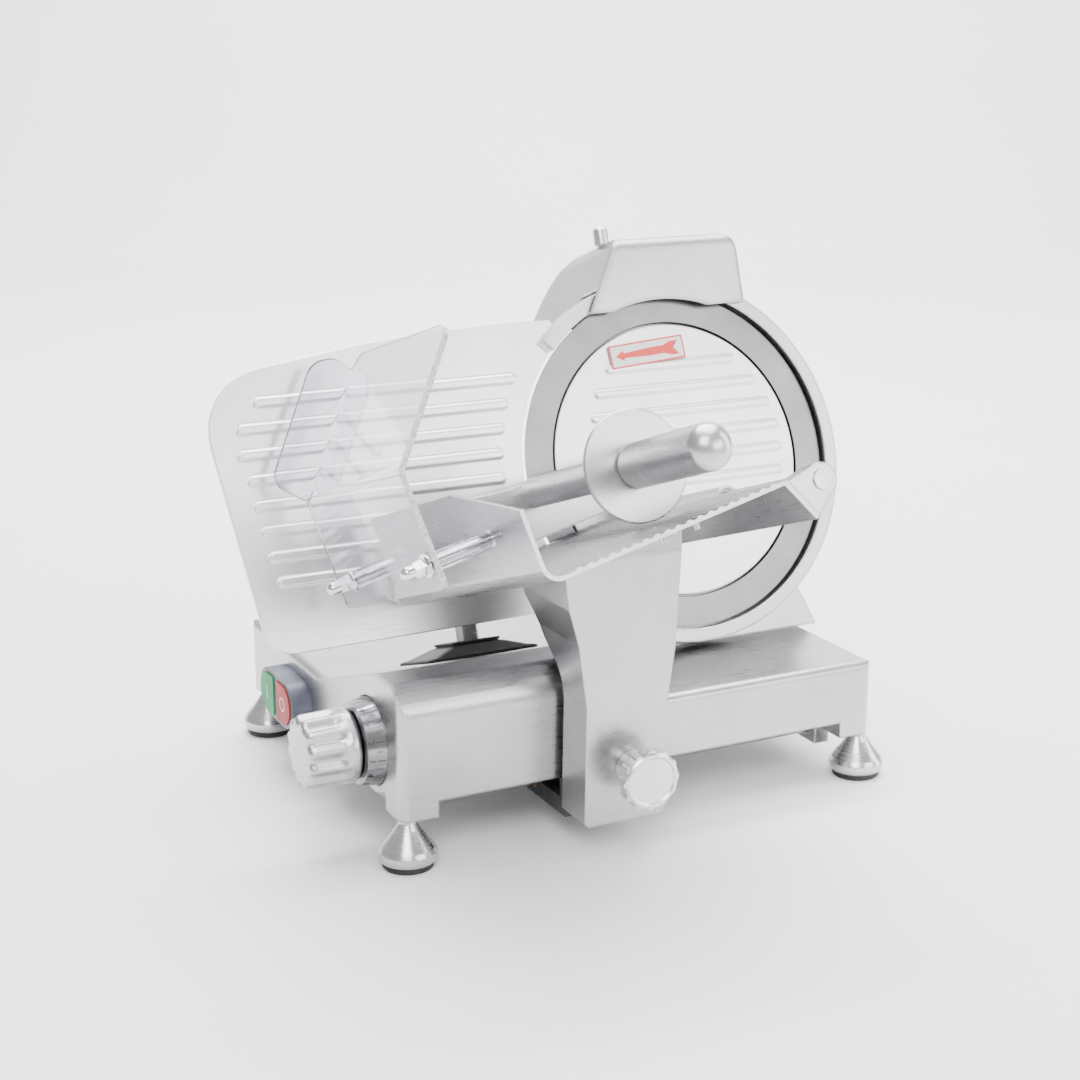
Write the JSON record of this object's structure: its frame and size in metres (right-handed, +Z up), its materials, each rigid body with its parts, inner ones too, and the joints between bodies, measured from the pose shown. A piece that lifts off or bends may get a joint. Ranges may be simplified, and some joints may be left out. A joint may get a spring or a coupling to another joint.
{
  "type": "deli meat slicer",
  "caption": "Gravity-feed meat slicer with a tilted round blade in a ring guard, ribbed gauge plate, sliding tray with clear hand guard, swinging pusher and thickness dial.",
  "frame": {"origin": "on the table under the middle of the machine's box", "axes": "+X along the carriage's travel to the right, +Y to the back, +Z up"},
  "size_m": [0.4908, 0.4545, 0.3881],
  "materials": {
    "cast_aluminium": "satin brushed, anodised casting",
    "sheet_aluminium": "fine brushed, anodised sheet",
    "gauge_aluminium": "pale satin anodised plate with pressed ribs",
    "blade_steel": "circularly ground hardened steel",
    "turned_aluminium": "turned and anodised",
    "steel": "bright machined steel",
    "zinc_steel": "zinc plated steel",
    "chrome": "polished chrome",
    "scale_chrome": "dark polished drum with engraved marks",
    "black_rubber": "matt black rubber",
    "black_plastic": "moulded black nylon",
    "switch_plastic": "moulded blue-grey plastic",
    "green_plastic": "moulded green plastic",
    "red_plastic": "moulded red plastic",
    "clear_sheet": "bent clear polycarbonate sheet",
    "bronze": "oil-filled bronze bush",
    "nylon": "turned nylon bush",
    "board": "circuit board with relays",
    "stone_grey": "bonded grinding stone on a steel spindle",
    "stone_pink": "bonded honing stone on a steel spindle"
  },
  "bodies": {
    "base": {"base_housing": "cast_aluminium", "bottom_plate": "steel", "feet": "turned_aluminium", "foot_soles": "black_rubber", "foot_studs": "zinc_steel", "blade_support": "cast_aluminium", "shaft_bearings": "steel", "case_cover": "cast_aluminium", "case_screws": "zinc_steel", "blade_cover": "gauge_aluminium", "cover_rod": "steel", "cover_knob": "black_plastic", "slice_deflector": "sheet_aluminium", "motor_shell": "cast_aluminium", "motor_end_cap": "black_plastic", "drive_belt": "black_rubber", "switch_housing": "switch_plastic", "control_board": "board", "capacitor": "black_plastic", "cable_gland": "black_plastic", "dial_bush": "bronze", "gauge_boot": "black_rubber", "guide_bar": "steel", "guide_bar_blocks": "cast_aluminium", "slide_rail": "steel", "rail_brackets": "cast_aluminium", "steady_bar": "steel", "sharpener_posts": "steel"},
    "blade": {"blade": "blade_steel", "blade_shaft": "steel", "blade_pulley": "zinc_steel"},
    "motor_rotor": {"motor_pulley": "zinc_steel"},
    "dial": {"dial_knob": "turned_aluminium", "dial_scale": "scale_chrome", "dial_cam": "steel"},
    "gauge": {"gauge_plate": "gauge_aluminium", "gauge_bracket": "cast_aluminium"},
    "carriage": {"carriage_arm": "cast_aluminium", "slide_block": "black_plastic", "slide_bushes": "bronze", "food_tray": "sheet_aluminium", "tray_screws": "zinc_steel", "rod_ears": "cast_aluminium", "pusher_rod": "steel", "guard_studs": "steel", "guard_spacers": "clear_sheet", "guard_nuts": "chrome", "hand_guard": "clear_sheet"},
    "arm_knob": {"arm_knob": "turned_aluminium"},
    "pusher_carrier": {"pusher_bushes": "nylon"},
    "pusher": {"pusher_plate": "cast_aluminium", "pusher_tube": "turned_aluminium", "hand_disc": "gauge_aluminium", "pusher_handle": "turned_aluminium"},
    "sharpener": {"sharpener_hood": "cast_aluminium", "lift_pin": "steel"},
    "grinder": {"grind_stone": "stone_grey"},
    "honer": {"hone_stone": "stone_pink"},
    "start_button": {"start_button": "green_plastic"},
    "stop_button": {"stop_button": "red_plastic"}
  },
  "joints": [
    {"name": "blade_spin", "type": "hinge", "parent": "base", "child": "blade", "pos_m": [0.1085, 0.05782, 0.22053], "axis": [0, -0.9458, 0.3247], "continuous": true},
    {"name": "motor_spin", "type": "hinge", "parent": "base", "child": "motor_rotor", "pos_m": [0.1685, 0.08467, 0.1817], "axis": [0, -0.9458, 0.3247], "continuous": true},
    {"name": "dial_turn", "type": "hinge", "parent": "base", "child": "dial", "pos_m": [-0.1675, -0.024, 0.074], "axis": [1, 0, 0], "range_deg": [0, 300]},
    {"name": "gauge_slide", "type": "slide", "parent": "base", "child": "gauge", "axis": [0, 0.9458, -0.3247], "range_m": [0, 0.0121]},
    {"name": "carriage_slide", "type": "slide", "parent": "base", "child": "carriage", "axis": [1, 0, 0], "range_m": [-0.08, 0.165]},
    {"name": "arm_knob_turn", "type": "hinge", "parent": "carriage", "child": "arm_knob", "pos_m": [-0.022, -0.13, 0.0611], "axis": [0, -1, 0], "range_deg": [-180, 180]},
    {"name": "pusher_slide", "type": "slide", "parent": "carriage", "child": "pusher_carrier", "axis": [0, -0.9458, 0.3247], "range_m": [0, 0.098]},
    {"name": "pusher_swing", "type": "hinge", "parent": "pusher_carrier", "child": "pusher", "pos_m": [0.0675, -0.03755, 0.21066], "axis": [0, 0.9458, -0.3247], "range_deg": [0, 75]},
    {"name": "sharpener_lift", "type": "slide", "parent": "base", "child": "sharpener", "axis": [0, 0.3247, 0.9458], "range_m": [0, 0.018]},
    {"name": "grind_press", "type": "slide", "parent": "sharpener", "child": "grinder", "axis": [0, -0.9458, 0.3247], "range_m": [0, 0.004], "stiffness_N_per_m": 200, "springref_m": -0.002},
    {"name": "hone_press", "type": "slide", "parent": "sharpener", "child": "honer", "axis": [0, -0.9458, 0.3247], "range_m": [0, 0.004], "stiffness_N_per_m": 200, "springref_m": -0.002},
    {"name": "start_press", "type": "slide", "parent": "base", "child": "start_button", "axis": [1, 0, 0], "range_m": [0, 0.003], "stiffness_N_per_m": 400, "springref_m": -0.001},
    {"name": "stop_press", "type": "slide", "parent": "base", "child": "stop_button", "axis": [1, 0, 0], "range_m": [0, 0.003], "stiffness_N_per_m": 400, "springref_m": -0.001}
  ],
  "couplings": [
    {"joint": "motor_spin", "follows": "blade_spin", "ratio": 2.8333},
    {"joint": "gauge_slide", "follows": "dial_turn", "m_per_rad": 0.0022918}
  ]
}
